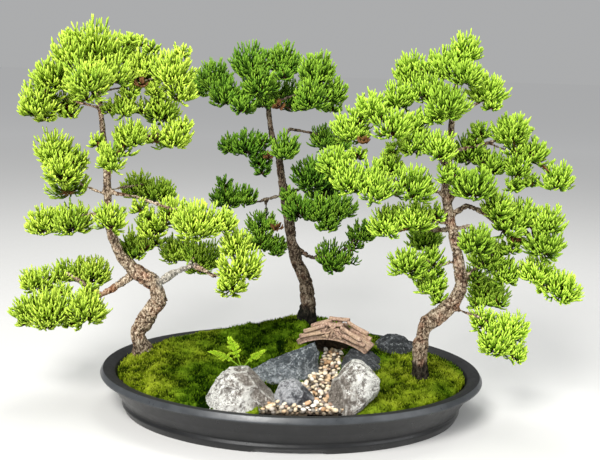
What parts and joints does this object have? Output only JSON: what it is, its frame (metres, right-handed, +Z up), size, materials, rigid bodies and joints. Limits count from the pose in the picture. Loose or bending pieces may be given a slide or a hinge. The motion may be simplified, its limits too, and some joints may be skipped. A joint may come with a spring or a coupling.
{
  "type": "japanese garden juniper bonsai",
  "caption": "Miniature Japanese garden of upright juniper bonsai in a shallow oval black tray, with moss, a pebble stream bed, stones, a fern and a small arched footbridge.",
  "frame": {"origin": "bottom centre of the whole bounding box, on the plane of the tray foot ring", "axes": "+X to the right along the long axis of the oval tray, +Y away from the viewer of the front, +Z up"},
  "size_m": [0.6392, 0.337, 0.4463],
  "materials": {
    "tray_plastic": "satin",
    "potting_mix": "matte",
    "moss": "matte",
    "pea_gravel": "matte",
    "pale_stone": "matte",
    "dark_slate": "matte",
    "bridge_clay": "matte",
    "fern_frond": "matte",
    "juniper_bark": "matte",
    "bright_foliage": "matte",
    "deep_foliage": "matte"
  },
  "bodies": {
    "root": {"tray": "tray_plastic", "soil": "potting_mix", "moss_left": "moss", "moss_right": "moss", "gravel": "pea_gravel", "stone_front_left": "pale_stone", "stone_slate_blade": "dark_slate", "stone_front_middle": "pale_stone", "stone_front_right": "pale_stone", "stone_under_bridge": "dark_slate", "stone_back_right": "dark_slate", "bridge": "bridge_clay", "fern": "fern_frond", "trunk_left": "juniper_bark", "trunk_middle": "juniper_bark", "trunk_right": "juniper_bark", "foliage_left_crown_top": "bright_foliage", "foliage_left_crown_left": "bright_foliage", "foliage_left_crown_right": "bright_foliage", "foliage_left_crown_under": "bright_foliage", "foliage_left_upper_arm": "bright_foliage", "foliage_left_left_mid": "bright_foliage", "foliage_left_left_arm": "bright_foliage", "foliage_left_mid_tuft": "bright_foliage", "foliage_left_right_back": "bright_foliage", "foliage_left_right_mid": "bright_foliage", "foliage_left_inner_up": "bright_foliage", "foliage_left_low_right_back": "bright_foliage", "foliage_left_low_right": "bright_foliage", "foliage_left_low_left_top": "bright_foliage", "foliage_left_low_left": "bright_foliage", "foliage_middle_crown_left": "deep_foliage", "foliage_middle_crown_top": "deep_foliage", "foliage_middle_crown_back": "deep_foliage", "foliage_middle_crown_right": "deep_foliage", "foliage_middle_neck_left": "deep_foliage", "foliage_middle_neck_right": "deep_foliage", "foliage_middle_left_twig": "deep_foliage", "foliage_middle_right_up": "deep_foliage", "foliage_middle_far_right_up": "deep_foliage", "foliage_middle_right_mid": "deep_foliage", "foliage_middle_left_low": "deep_foliage", "foliage_middle_right_low": "deep_foliage", "foliage_right_top": "bright_foliage", "foliage_right_crown_left": "bright_foliage", "foliage_right_crown_right": "bright_foliage", "foliage_right_left_up": "bright_foliage", "foliage_right_left_main": "bright_foliage", "foliage_right_trunk_right": "bright_foliage", "foliage_right_trunk_front": "bright_foliage", "foliage_right_right_up": "bright_foliage", "foliage_right_right_big": "bright_foliage", "foliage_right_right_far_low": "bright_foliage", "foliage_right_trunk_right_front": "bright_foliage", "foliage_right_right_mid": "bright_foliage", "foliage_right_right_back_low": "bright_foliage", "foliage_right_low_right": "bright_foliage", "foliage_right_left_mid": "bright_foliage", "foliage_right_left_low": "bright_foliage", "foliage_right_back_fill": "bright_foliage"}
  },
  "joints": []
}
